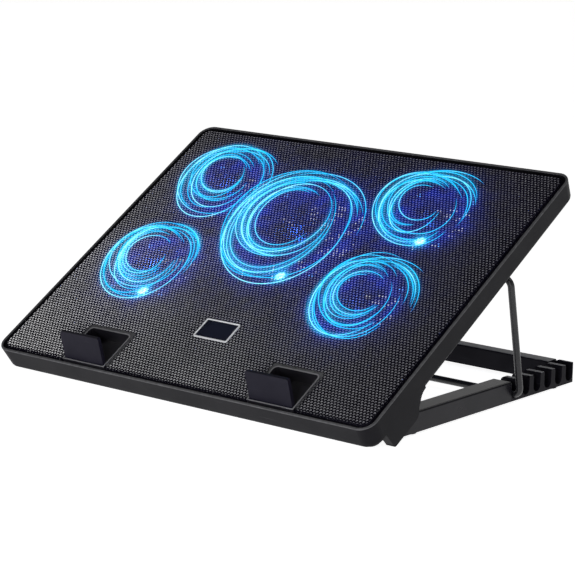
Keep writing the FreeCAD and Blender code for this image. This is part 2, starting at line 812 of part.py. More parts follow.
def rack():
    """Right-hand notched rack with six U-shaped slots, open at the top."""
    x0 = arm_x0()
    start = first_slot_front()
    rear = base_y(base_rear_y)
    block = box(x0, arm_outer_x, start, rear, arm_bottom_z, tooth_top_z)
    inner_top = edges_at(block, lambda p: near(p.z, tooth_top_z) and near(p.x, x0))
    block = block.makeFillet(3.6, inner_top)
    rear_corner = edges_at(block, lambda p: near(p.y, rear) and near(p.x, arm_outer_x))
    block = block.makeFillet(2.2, rear_corner)
    half = slot_width / 2
    mouth_bevel = 0.9
    for centre in slot_centres():
        floor_centre_z = slot_bottom_z + half
        slot = box(x0 - 1, arm_outer_x + 1, centre - half, centre + half, floor_centre_z,
                   tooth_top_z + 5)
        slot = slot.fuse(cylinder_x(half, x0 - 1, arm_outer_x + 1, centre, floor_centre_z))
        mouth = Part.makePolygon([
            V(x0 - 1, centre - half - mouth_bevel, tooth_top_z + 0.01),
            V(x0 - 1, centre + half + mouth_bevel, tooth_top_z + 0.01),
            V(x0 - 1, centre + half, tooth_top_z - 1.6),
            V(x0 - 1, centre - half, tooth_top_z - 1.6),
            V(x0 - 1, centre - half - mouth_bevel, tooth_top_z + 0.01),
        ])
        slot = slot.fuse(Part.Face(mouth).extrude(V(arm_width + 2, 0, 0)))
        block = block.cut(slot)
    return block.removeSplitter()


def rear_crossbar():
    """Beam between the racks, hollow below."""
    half = arm_x0()
    rear = base_y(base_rear_y)
    front = rear - crossbar_depth
    bar = box(-half, half, front, rear, arm_bottom_z, crossbar_top_z)
    top_edges = edges_at(bar, lambda p: near(p.z, crossbar_top_z)
                         and (near(p.y, rear) or near(p.y, front)))
    bar = bar.makeFillet(1.4, top_edges)
    hollow = box(-half + arm_wall, half - arm_wall, front + arm_wall, rear - arm_wall,
                 arm_bottom_z - 1, crossbar_top_z - arm_wall)
    bar = bar.cut(hollow)
    rib_count = 7
    for index in range(rib_count):
        rib_x = -half + 2 * half * (index + 1) / (rib_count + 1)
        rib = box(rib_x - 0.8, rib_x + 0.8, front + arm_wall, rear - arm_wall,
                  arm_bottom_z + 2.0, crossbar_top_z - arm_wall)
        bar = bar.fuse(rib)
    return bar.removeSplitter()


def hinge_pin():
    """Right-hand steel pin, pressed into the arm's eye and turning in the cheek."""
    axis = hinge_row_point()
    return cylinder_x(hinge_pin_radius, arm_x0() + 3.0, 185.6, axis.y, axis.z)


# ---------------------------------------------------------------- build
def build_pad():
    save("pad_frame", on_pad(pad_frame()))
    save("top_mesh_panel", on_pad(top_mesh_panel()))
    cover = bottom_cover()
    save("bottom_cover", on_pad(cover))
    save("cover_screws", on_pad(cover_screws()))
    save_pair("wire_clip", wire_clip(cover), on_pad)
    for name, x, v, outer in fan_places():
        save("fan_grille_" + name, on_pad(fan_grille(x, v, outer)))
        save("fan_frame_" + name, on_pad(fan_frame(x, v, outer)))
        save("fan_rotor_" + name, on_pad(fan_rotor(x, v, outer)))
        save("fan_lights_" + name, on_pad(fan_lights(x, v, outer)))
    save_pair("stopper_pocket", stopper_pocket(), on_pad)
    save_pair("stopper", stopper(), on_pad)
    save_pair("stopper_pin", stopper_pin(), on_pad)
    save("name_plate", on_pad(name_plate()))
    save("control_bezel", on_pad(control_bezel()))
    save("circuit_board", on_pad(circuit_board()))
    for index, x in enumerate(socket_xs):
        save("usb_socket_%d" % (index + 1), on_pad(usb_socket(x)))
    for index, x in enumerate(rocker_xs):
        save("rocker_cradle_%d" % (index + 1), on_pad(rocker_cradle(x)))
        save("rocker_%d" % (index + 1), on_pad(rocker(x)))


def build_base():
    save_pair("base_arm", base_arm())
    save_pair("base_rack", rack())
    save("rear_crossbar", rear_crossbar())
    save_pair("hinge_pin", hinge_pin())
    for row in ("front", "rear"):
        save_pair("base_foot_" + row, base_foot(row))


os.makedirs("parts", exist_ok=True)
build_pad()
build_base()
save("wire_stand", wire_stand())
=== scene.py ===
import json
import math
import random

import bpy
import numpy as np
from mathutils import Matrix, Vector

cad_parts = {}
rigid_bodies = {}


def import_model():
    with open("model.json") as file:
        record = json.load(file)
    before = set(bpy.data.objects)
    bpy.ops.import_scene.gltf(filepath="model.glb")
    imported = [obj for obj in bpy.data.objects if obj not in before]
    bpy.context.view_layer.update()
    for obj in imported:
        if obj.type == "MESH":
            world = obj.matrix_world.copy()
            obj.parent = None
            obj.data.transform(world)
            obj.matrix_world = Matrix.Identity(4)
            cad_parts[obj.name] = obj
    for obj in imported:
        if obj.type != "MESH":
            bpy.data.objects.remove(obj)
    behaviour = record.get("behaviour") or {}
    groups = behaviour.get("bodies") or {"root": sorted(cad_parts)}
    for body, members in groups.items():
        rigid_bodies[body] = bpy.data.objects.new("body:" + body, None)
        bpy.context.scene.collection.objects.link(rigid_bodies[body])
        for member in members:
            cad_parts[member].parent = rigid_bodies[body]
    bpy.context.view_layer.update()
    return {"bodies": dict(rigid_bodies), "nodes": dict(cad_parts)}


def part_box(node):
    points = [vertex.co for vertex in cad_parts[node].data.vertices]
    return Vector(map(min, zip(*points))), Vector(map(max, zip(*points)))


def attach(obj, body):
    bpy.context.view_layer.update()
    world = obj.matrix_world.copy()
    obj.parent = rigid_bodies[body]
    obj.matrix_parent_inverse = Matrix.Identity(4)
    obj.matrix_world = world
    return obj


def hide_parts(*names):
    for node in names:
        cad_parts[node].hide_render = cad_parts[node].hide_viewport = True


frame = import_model()
nodes = frame["nodes"]

MM = 0.001

# The pad's own frame, in millimetres: x to the right, v up the tray, w out of its top.
# All sizes below are in that frame unless a comment says otherwise.
TILT = math.radians(31.5)
FRONT_EDGE = (0.0, -141.2, 18.6)
PAD_X = (1.0, 0.0, 0.0)
PAD_V = (0.0, math.cos(TILT), math.sin(TILT))
PAD_W = (0.0, -math.sin(TILT), math.cos(TILT))

# Each fan's name, its axis in x and v, and its duct's outer radius.
FANS = (
    ("front_left", -112.0, 121.0, 37.5),
    ("front_right", 96.0, 121.0, 37.5),
    ("rear_left", -112.0, 227.0, 37.5),
    ("rear_right", 96.0, 227.0, 37.5),
    ("middle", -8.0, 187.0, 60.0),
)

TRAY_DEPTH = 290.0
TRAY_HALF = 190.0

# The painted blue light on the fans fades downwards between these two levels in w.
BLUE_LIGHT_TOP_W = -4.0
BLUE_LIGHT_FOOT_W = -15.5

POCKET_X = 95.25
POCKET_HALF = 22.35
POCKET_REAR_V = 43.5

# Height over the table, in millimetres, above which the rack teeth get a painted highlight.
TOOTH_HIGHLIGHT_HEIGHT = 18.15

BADGE_V = 65.5
BADGE_HALF_DEPTH = 10.5
BADGE_BORDER = 1.4

# The perforated sheet. A hole narrows from HOLE_RADIUS at its mouth to HOLE_FOOT at its foot,
# and the mouth lies WEB_CROWN below the crest of the webs. Holes reach HOLED_REACH past the flat
# part, and their centres stay POCKET_MARGIN away from the stopper openings. The plain parts are
# PLAIN_SHEET thick, and the rolled edge ends in a straight SKIRT. The holes come in STRIPS objects.
PITCH = 3.03
HOLE_RADIUS = 1.12
HOLE_FOOT = 0.62
HOLE_SIDES = 6
WEB_CROWN = 0.08
SHEET = 0.7
PLAIN_SHEET = 0.4
HOLED_REACH = 3.9
POCKET_MARGIN = 1.75
SKIRT = 0.55
STRIPS = 4
PANEL_TOP_W = 0.2
PANEL_HALF = 185.0
PANEL_FRONT = 5.0
PANEL_REAR = 294.0
PANEL_CORNER = 7.0
ROLL = 2.2


def to_row(points):
    """Pad-frame points in millimetres to row-frame points in metres."""
    points = np.asarray(points, float)
    axes = np.array([PAD_X, PAD_V, PAD_W])
    return (points @ axes + np.array(FRONT_EDGE)) * MM


# ---------------------------------------------------------------- shader helpers
class Shader:
    """A material's node tree, with short calls to add and join nodes."""

    def __init__(self, name):
        self.material = bpy.data.materials.new(name)
        self.material.use_nodes = True
        self.tree = self.material.node_tree
        self.tree.nodes.clear()
        self.output = self.tree.nodes.new("ShaderNodeOutputMaterial")
        self.bsdf = self.tree.nodes.new("ShaderNodeBsdfPrincipled")
        self.join(self.bsdf.outputs["BSDF"], self.output.inputs["Surface"])
        self.coords = self.tree.nodes.new("ShaderNodeTexCoord").outputs["Object"]

    def join(self, source, target):
        self.tree.links.new(source, target)

    def feed(self, socket, value):
        """Set a socket to a constant, or join another node's output to it."""
        if isinstance(value, (int, float, tuple)):
            socket.default_value = value
        else:
            self.join(value, socket)

    def noise(self, scale, detail=2.0, rough=0.5, vector=None):
        made = self.tree.nodes.new("ShaderNodeTexNoise")
        made.inputs["Scale"].default_value = scale
        made.inputs["Detail"].default_value = detail
        made.inputs["Roughness"].default_value = rough
        self.join(vector if vector else self.coords, made.inputs["Vector"])
        return made.outputs["Fac"]

    def math(self, operation, first, second=0.0, clamp=False):
        made = self.tree.nodes.new("ShaderNodeMath")
        made.operation = operation
        made.use_clamp = clamp
        self.feed(made.inputs[0], first)
        self.feed(made.inputs[1], second)
        return made.outputs[0]

    def remap(self, value, from_low, from_high, to_low, to_high):
        made = self.tree.nodes.new("ShaderNodeMapRange")
        self.feed(made.inputs["Value"], value)
        made.inputs["From Min"].default_value = from_low
        made.inputs["From Max"].default_value = from_high
        made.inputs["To Min"].default_value = to_low
        made.inputs["To Max"].default_value = to_high
        return made.outputs["Result"]

    def mix(self, share, low, high):
        made = self.tree.nodes.new("ShaderNodeMix")
        made.data_type = "RGBA"
        self.feed(made.inputs["Factor"], share)
        self.feed(made.inputs["A"], low)
        self.feed(made.inputs["B"], high)
        return made.outputs["Result"]

    def scaled(self, colour, factor):
        """A colour times a number."""
        made = self.tree.nodes.new("ShaderNodeVectorMath")
        made.operation = "SCALE"
        self.feed(made.inputs[0], colour)
        self.feed(made.inputs["Scale"], factor)
        return made.outputs[0]

    def along(self, direction, offset=0.0):
        """Distance in metres along a direction, from offset mm past the pad's top front edge."""
        shifted = self.tree.nodes.new("ShaderNodeVectorMath")
        shifted.operation = "SUBTRACT"
        self.join(self.coords, shifted.inputs[0])
        shifted.inputs[1].default_value = tuple(value * MM for value in FRONT_EDGE)
        dot = self.tree.nodes.new("ShaderNodeVectorMath")
        dot.operation = "DOT_PRODUCT"
        self.join(shifted.outputs[0], dot.inputs[0])
        dot.inputs[1].default_value = direction
        return self.math("SUBTRACT", dot.outputs["Value"], offset * MM)

    def bump(self, height, strength, distance):
        """Relief on the surface, its depth in metres."""
        made = self.tree.nodes.new("ShaderNodeBump")
        made.inputs["Strength"].default_value = strength
        made.inputs["Distance"].default_value = distance
        self.join(height, made.inputs["Height"])
        self.join(made.outputs["Normal"], self.bsdf.inputs["Normal"])

    def attribute(self, name):
        """Value stored on the mesh's points."""
        made = self.tree.nodes.new("ShaderNodeAttribute")
        made.attribute_name = name
        return made.outputs["Fac"]


def rgb(red, green, blue):
    return (red, green, blue, 1.0)


def squared(shader, value):
    return shader.math("MULTIPLY", value, value)


def bell(shader, value):
    """1 at value 0, falling off smoothly on both sides."""
    return shader.math("EXPONENT", shader.math("MULTIPLY", squared(shader, value), -1.0))


def moulded(name, dark, light, rough_low, rough_high, grain=1500.0, relief=0.35, scuffs=0.0,
            shine=0.35):
    """Moulded plastic: soft mottling, fine spark-eroded grain, sparse hairline scuffs."""
    shader = Shader(name)
    mottle = shader.noise(38.0, 3.0)
    colour = shader.mix(shader.remap(mottle, 0.35, 0.65, 0.0, 1.0), dark, light)
    if scuffs > 0.0:
        stretch = shader.tree.nodes.new("ShaderNodeMapping")
        stretch.inputs["Rotation"].default_value = (0.3, 0.2, 0.6)
        stretch.inputs["Scale"].default_value = (30.0, 900.0, 900.0)
        shader.join(shader.coords, stretch.inputs["Vector"])
        hairs = shader.noise(1.0, 2.0, 0.5, stretch.outputs["Vector"])
        here = shader.remap(hairs, 0.70, 0.78, 0.0, scuffs)
        colour = shader.mix(here, colour, rgb(0.10, 0.10, 0.11))
    shader.join(colour, shader.bsdf.inputs["Base Color"])
    smears = shader.noise(14.0, 2.0, 0.5)
    shader.join(shader.remap(smears, 0.2, 0.8, rough_low, rough_high), shader.bsdf.inputs["Roughness"])
    shader.bsdf.inputs["Specular IOR Level"].default_value = shine
    shader.bump(shader.noise(grain, 3.0, 0.7), relief, 0.00006)
    return shader


def brushed(name, dark, light, rough_low, rough_high, metallic):
    """Metal with fine drawing marks and small stains."""
    shader = Shader(name)
    stretch = shader.tree.nodes.new("ShaderNodeMapping")
    stretch.inputs["Scale"].default_value = (12.0, 900.0, 900.0)
    shader.join(shader.coords, stretch.inputs["Vector"])
    lines = shader.noise(1.0, 3.0, 0.6, stretch.outputs["Vector"])
    stains = shader.noise(60.0, 3.0)
    colour = shader.mix(shader.remap(stains, 0.35, 0.7, 0.0, 1.0), dark, light)
    shader.join(colour, shader.bsdf.inputs["Base Color"])
    shader.bsdf.inputs["Metallic"].default_value = metallic
    shader.join(shader.remap(lines, 0.3, 0.7, rough_low, rough_high), shader.bsdf.inputs["Roughness"])
    shader.bump(lines, 0.2, 0.00003)
    return shader


def fan_glow(shader, spread, ring_share, core):
    """Sum over the fans of a soft ring of light round each axis, with a fainter fill inside it."""
    x = shader.along(PAD_X)
    v = shader.along(PAD_V)
    total = None
    for _, fan_x, fan_v, outer in FANS:
        dx = shader.math("SUBTRACT", x, fan_x * MM)
        dv = shader.math("SUBTRACT", v, fan_v * MM)
        radius = shader.math("SQRT", shader.math("ADD", squared(shader, dx), squared(shader, dv)))
        away = shader.math("SUBTRACT", radius, outer * ring_share * MM)
        ring = bell(shader, shader.math("DIVIDE", away, outer * spread * MM))
        fill = bell(shader, shader.math("DIVIDE", radius, outer * 1.25 * MM))
        value = shader.math("ADD", ring, shader.math("MULTIPLY", fill, core))
        total = value if total is None else shader.math("ADD", total, value)
    return total


def front_left_share(shader):
    """Share of the painted highlight on the hole walls: 1 at the tray's front left corner, 0 at its rear
    right one.
    """
    near_front = shader.remap(shader.along(PAD_V), 0.0, TRAY_DEPTH * MM, 1.0, 0.0)
    to_left = shader.remap(shader.along(PAD_X), -TRAY_HALF * MM, TRAY_HALF * MM, 1.0, 0.0)
    return shader.math("ADD", shader.math("MULTIPLY", near_front, 0.45),
                       shader.math("MULTIPLY", to_left, 0.55))


def sheet_light(shader, haze, haze_colour, spill_gain):
    """Blue light on the sheet: a haze round the fans, and what the trails spill on it."""
    glow = fan_glow(shader, 0.34, 0.80, 0.45)
    streaks = shader.remap(shader.noise(85.0, 3.0), 0.35, 0.65, 0.45, 1.25)
    glow = shader.math("MULTIPLY", shader.math("MULTIPLY", glow, streaks), haze)
    soft = shader.scaled(haze_colour, glow)
    level = shader.attribute("spill")
    hard = shader.scaled(light_colour(shader, level), shader.math("MULTIPLY", level, spill_gain))
    total = shader.tree.nodes.new("ShaderNodeVectorMath")
    total.operation = "ADD"
    shader.join(soft, total.inputs[0])
    shader.join(hard, total.inputs[1])
    shader.join(total.outputs[0], shader.bsdf.inputs["Emission Color"])
    shader.bsdf.inputs["Emission Strength"].default_value = 1.0


def mesh_paint():
    """Black powder coat on the webs, with the blue light that falls on it."""
    shader = Shader("mesh_paint")
    patch = shader.remap(shader.noise(30.0, 3.0), 0.3, 0.7, 0.0, 1.0)
    colour = shader.mix(patch, rgb(0.004, 0.0035, 0.007), rgb(0.008, 0.0075, 0.013))
    shader.join(colour, shader.bsdf.inputs["Base Color"])
    shader.bsdf.inputs["Specular IOR Level"].default_value = 0.015
    rough = shader.remap(shader.noise(420.0, 3.0), 0.3, 0.7, 0.40, 0.56)
    shader.join(rough, shader.bsdf.inputs["Roughness"])
    sheet_light(shader, 0.16, (0.002, 0.020, 0.42), 0.9)
    shader.bump(shader.noise(2600.0, 2.0, 0.6), 0.3, 0.00004)
    return shader


def mesh_cut_painted_highlight():
    """Punched walls of the holes, their colour a painted highlight: pale at the front left, duller towards
    the rear right.
    """
    shader = Shader("mesh_cut_painted_highlight")
    # Painted highlight: the walls' colour fades from near white at the front left to dark at the rear
    # right.
    share = shader.math("POWER", front_left_share(shader), 2.8)
    patch = shader.remap(shader.noise(12.0, 2.0), 0.3, 0.7, 0.75, 1.2)
    share = shader.math("MULTIPLY", share, patch, True)
    colour = shader.mix(share, rgb(0.050, 0.047, 0.066), rgb(0.95, 0.95, 0.96))
    shader.join(colour, shader.bsdf.inputs["Base Color"])
    rough = shader.remap(shader.noise(380.0, 3.0), 0.3, 0.7, 0.36, 0.52)
    shader.join(rough, shader.bsdf.inputs["Roughness"])
    sheet_light(shader, 0.45, (0.002, 0.035, 0.70), 1.3)
    shader.bump(shader.noise(2200.0, 2.0, 0.6), 0.3, 0.00004)
    return shader


def lit_plastic(name, dark, light, blue, strength):
    """Black fan plastic, washed by the blue lights round it."""
    shader = moulded(name, dark, light, 0.3, 0.5, 900.0, 0.25)
    glow = fan_glow(shader, 0.40, 0.80, 0.5)
    patch = shader.remap(shader.noise(55.0, 3.0), 0.3, 0.7, 0.25, 1.3)
    depth = shader.remap(shader.along(PAD_W), BLUE_LIGHT_FOOT_W * MM, BLUE_LIGHT_TOP_W * MM, 0.06, 1.0)
    glow = shader.math("MULTIPLY", shader.math("MULTIPLY", glow, patch), depth)
    shader.join(shader.scaled(blue, glow), shader.bsdf.inputs["Emission Color"])
    shader.bsdf.inputs["Emission Strength"].default_value = strength
    return shader


def light_colour(shader, level):
    """Deep blue where a light is weak, then cyan-blue, then white-blue where it is bright."""
    warm_up = shader.remap(level, 0.0, 0.32, 0.0, 1.0)
    cool = shader.mix(warm_up, rgb(0.0, 0.05, 0.48), rgb(0.01, 0.50, 0.92))
    return shader.mix(shader.remap(level, 0.7, 1.5, 0.0, 1.0), cool, rgb(0.26, 0.80, 1.0))


def trail_light():
    """Light trail: white-blue where it is bright, deep blue at its ends."""
    shader = Shader("light_trail")
    flicker = shader.remap(shader.noise(140.0, 2.0), 0.3, 0.7, 0.8, 1.15)
    level = shader.math("MULTIPLY", shader.attribute("glow_level"), flicker)
    shader.join(light_colour(shader, level), shader.bsdf.inputs["Emission Color"])
    shader.bsdf.inputs["Emission Strength"].default_value = 1.6
    shader.join(shader.mix(level, rgb(0.0, 0.01, 0.05), rgb(0.02, 0.1, 0.3)),
                shader.bsdf.inputs["Base Color"])
    shader.join(shader.remap(flicker, 0.8, 1.15, 0.35, 0.5), shader.bsdf.inputs["Roughness"])
    return shader


def cover_where(shader, where, colour):
    """Lay a colour over a material's own colour where the mask is 1."""
    base = shader.bsdf.inputs["Base Color"]
    under = base.links[0].from_socket
    shader.join(shader.mix(where, under, colour), base)
    return shader


def badge_print():
    """Blank badge: dark navy film with a thin pale printed border."""
    shader = moulded("badge_print", rgb(0.008, 0.010, 0.022), rgb(0.014, 0.017, 0.036), 0.22, 0.34,
                     1800.0, 0.15)
    low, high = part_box("name_plate")
    centre_x = (low.x + high.x) / 2
    half_x = (high.x - low.x) / 2
    x = shader.math("ABSOLUTE", shader.math("SUBTRACT", shader.along(PAD_X), centre_x))
    v = shader.math("ABSOLUTE", shader.along(PAD_V, BADGE_V))
    over_x = shader.math("GREATER_THAN", x, half_x - BADGE_BORDER * MM)
    over_v = shader.math("GREATER_THAN", v, (BADGE_HALF_DEPTH - BADGE_BORDER) * MM)
    border = shader.math("MAXIMUM", over_x, over_v)
    silver = shader.mix(shader.noise(700.0, 2.0), rgb(0.84, 0.85, 0.90), rgb(0.94, 0.95, 0.97))
    return cover_where(shader, border, silver)


def painted_rim_highlight(shader, start_w, dull=0.16, clear=0.30):
    """Painted highlight along the top edge: paler above a level in w; dull and clear are its two greys."""
    top = shader.math("GREATER_THAN", shader.along(PAD_W), start_w * MM)
    low = rgb(dull, dull, dull * 1.06)
    high = rgb(clear, clear, clear * 1.06)
    return cover_where(shader, top, shader.mix(shader.noise(300.0, 3.0), low, high))


def painted_tooth_highlight(shader):
    """Racks whose tooth tops carry a painted highlight in pale grey."""
    split = shader.tree.nodes.new("ShaderNodeSeparateXYZ")
    shader.join(shader.coords, split.inputs[0])
    top = shader.math("GREATER_THAN", split.outputs["Z"], TOOTH_HIGHLIGHT_HEIGHT * MM)
    tooth_highlight_grey = shader.mix(shader.noise(260.0, 3.0), rgb(0.10, 0.10, 0.11), rgb(0.34, 0.34, 0.36))
    return cover_where(shader, top, tooth_highlight_grey)


def light_chip():
    """Lens of a light chip: pale plastic that glows an uneven blue."""
    shader = moulded("light_chip", rgb(0.5, 0.6, 0.7), rgb(0.6, 0.7, 0.8), 0.3, 0.5, 900.0, 0.2)
    pulse = shader.mix(shader.noise(500.0, 2.0), rgb(0.02, 0.25, 1.0), rgb(0.15, 0.50, 1.0))
    shader.join(pulse, shader.bsdf.inputs["Emission Color"])
    shader.bsdf.inputs["Emission Strength"].default_value = 2.0
    return shader


def make_materials():
    """Every finish by its short name."""
    made = {}
    # The shell's top lip gets a painted highlight.
    made["shell"] = painted_rim_highlight(moulded("shell_plastic", rgb(0.0060, 0.0058, 0.0078),
                                   rgb(0.0095, 0.0092, 0.0116), 0.34, 0.46, 1500.0, 0.35, 0.2, 0.05),
                           -0.9, 0.05, 0.14)
    made["cover"] = moulded("cover_plastic", rgb(0.010, 0.010, 0.012), rgb(0.018, 0.018, 0.020),
                            0.42, 0.60, 900.0, 0.5, 0.3)
    made["grille"] = moulded("grille_plastic", rgb(0.012, 0.012, 0.014), rgb(0.022, 0.022, 0.025),
                             0.35, 0.5, 1200.0, 0.3)
    made["stand"] = moulded("stand_plastic", rgb(0.0070, 0.0067, 0.0095), rgb(0.0115, 0.0110, 0.0145),
                            0.24, 0.34, 1400.0, 0.3, 0.2, 0.14)
    # Tops above the tooth height get a painted highlight.
    made["rack"] = painted_tooth_highlight(moulded("rack_plastic", rgb(0.0080, 0.0076, 0.0105),
                                        rgb(0.0120, 0.0114, 0.0150), 0.26, 0.38, 1400.0, 0.3,
                                        0.25, 0.04))
    made["rib"] = moulded("rib_plastic", rgb(0.22, 0.21, 0.25), rgb(0.34, 0.33, 0.38),
                          0.4, 0.55, 900.0, 0.3)
    made["stopper"] = moulded("stopper_plastic", rgb(0.0085, 0.0078, 0.0150), rgb(0.0125, 0.0115, 0.0200),
                              0.36, 0.48, 1300.0, 0.3, 0.2, 0.08)
    # The pocket's raised rim gets a painted highlight.
    made["pocket"] = painted_rim_highlight(moulded("pocket_plastic", rgb(0.0140, 0.0130, 0.0180),
                                    rgb(0.0230, 0.0220, 0.0280), 0.30, 0.42, 1300.0, 0.3, 0.2, 0.4), 0.3)
    made["rubber"] = moulded("rubber_foot", rgb(0.012, 0.012, 0.012), rgb(0.022, 0.022, 0.022),
                             0.75, 0.9, 700.0, 0.6)
    made["bezel"] = moulded("bezel_plastic", rgb(0.010, 0.010, 0.011), rgb(0.018, 0.018, 0.020),
                            0.35, 0.48, 1500.0, 0.3)
    made["rocker"] = moulded("rocker_plastic", rgb(0.018, 0.018, 0.020), rgb(0.030, 0.030, 0.034),
                             0.22, 0.34, 1600.0, 0.2, 0.3)
    made["board"] = moulded("board_laminate", rgb(0.004, 0.040, 0.014), rgb(0.006, 0.070, 0.024),
                            0.35, 0.5, 600.0, 0.3)
    made["fan_duct"] = lit_plastic("duct_plastic", rgb(0.008, 0.008, 0.012), rgb(0.016, 0.016, 0.022),
                                   (0.006, 0.045, 0.42), 0.45)
    made["rotor"] = lit_plastic("rotor_plastic", rgb(0.010, 0.010, 0.016), rgb(0.020, 0.020, 0.030),
                                (0.010, 0.060, 0.55), 0.5)
    made["wire"] = brushed("wire_enamel", rgb(0.010, 0.010, 0.012), rgb(0.017, 0.017, 0.020),
                           0.20, 0.34, 0.2)
    made["steel"] = brushed("steel_pin", rgb(0.42, 0.42, 0.43), rgb(0.58, 0.58, 0.60), 0.24, 0.4, 1.0)
    made["screw"] = brushed("screw_steel", rgb(0.05, 0.05, 0.055), rgb(0.10, 0.10, 0.11), 0.28, 0.45, 1.0)
    made["socket"] = brushed("socket_plate", rgb(0.10, 0.10, 0.11), rgb(0.20, 0.20, 0.22), 0.25, 0.40, 1.0)
    made["mesh"] = mesh_paint()
    made["mesh_cut_painted_highlight"] = mesh_cut_painted_highlight()
    made["badge"] = badge_print()
    made["light"] = light_chip()
    made["trail"] = trail_light()
    return {key: shader.material for key, shader in made.items()}


MATERIALS = make_materials()

NODE_MATERIALS = (
    ("pad_frame", "shell"),
    ("top_mesh_panel", "mesh"),
    ("bottom_cover", "cover"),
    ("cover_screws", "screw"),
    ("wire_clip", "stand"),
    ("wire_stand", "wire"),
    ("fan_grille", "grille"),
    ("fan_frame", "fan_duct"),
    ("fan_rotor", "rotor"),
    ("fan_lights", "light"),
    ("stopper_pocket", "pocket"),
    ("stopper_pin", "steel"),
    ("stopper", "stopper"),
    ("name_plate", "badge"),
    ("control_bezel", "bezel"),
    ("circuit_board", "board"),
    ("usb_socket", "socket"),
    ("rocker_cradle", "bezel"),
    ("rocker", "rocker"),
    ("base_foot", "rubber"),
    ("base_rack", "rack"),
    ("base_", "stand"),
    ("rear_crossbar", "rack"),
    ("hinge_pin", "steel"),
)


def dress_nodes():
    """Give every CAD node the finish of the first prefix that it starts with."""
    for name, obj in nodes.items():
        for prefix, key in NODE_MATERIALS:
            if name.startswith(prefix):
                obj.data.materials.clear()
                obj.data.materials.append(MATERIALS[key])
                break


# ---------------------------------------------------------------- mesh helpers
def mesh_object(name, points, faces, material, body):
    """Object from row-frame points and faces, with a finish, riding on a body."""
    mesh = bpy.data.meshes.new(name)
    mesh.from_pydata([tuple(point) for point in points], [], [tuple(face) for face in faces])
    mesh.validate()
    mesh.update()
    mesh.materials.append(MATERIALS[material])
    obj = bpy.data.objects.new(name, mesh)
    bpy.context.scene.collection.objects.link(obj)
    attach(obj, body)
    return obj


FLAT_HALF = PANEL_HALF - ROLL
FLAT_FRONT = PANEL_FRONT + ROLL
FLAT_REAR = PANEL_REAR - ROLL
FLAT_CORNER = PANEL_CORNER - ROLL


def edge_reach(x, v):
    """How far a flat point lies outside the panel's flat part, and the way out."""
    middle_v = (FLAT_FRONT + FLAT_REAR) / 2
    half_v = (FLAT_REAR - FLAT_FRONT) / 2
    qx = np.abs(x) - (FLAT_HALF - FLAT_CORNER)
    qv = np.abs(v - middle_v) - (half_v - FLAT_CORNER)
    ox = np.maximum(qx, 0.0)
    ov = np.maximum(qv, 0.0)
    length = np.hypot(ox, ov)
    safe = np.where(length > 1e-9, length, 1.0)
    inside = np.minimum(np.maximum(qx, qv), 0.0)
    reach = length + inside - FLAT_CORNER
    return reach, np.sign(x) * ox / safe, np.sign(v - middle_v) * ov / safe


def rolled(x, v, sink):
    """Flat sheet points laid over the panel, its outer edge rolled down; sink goes inwards."""
    reach, out_x, out_v = edge_reach(x, v)
    beyond = np.maximum(reach, 0.0)
    quarter = ROLL * math.pi / 2
    angle = np.minimum(beyond, quarter) / ROLL
    straight = np.maximum(beyond - quarter, 0.0)
    rim = ROLL - sink
    px = x - out_x * beyond + out_x * rim * np.sin(angle)
    pv = v - out_v * beyond + out_v * rim * np.sin(angle)
    pw = PANEL_TOP_W - ROLL + rim * np.cos(angle) - straight
    return np.stack([px, pv, pw], -1)


def near_pocket(x, v, margin):
    """Whether a flat point lies in a stopper opening or within a margin of it."""
    across = np.abs(np.abs(x) - POCKET_X) < POCKET_HALF + margin
    return across & (v < POCKET_REAR_V + margin)


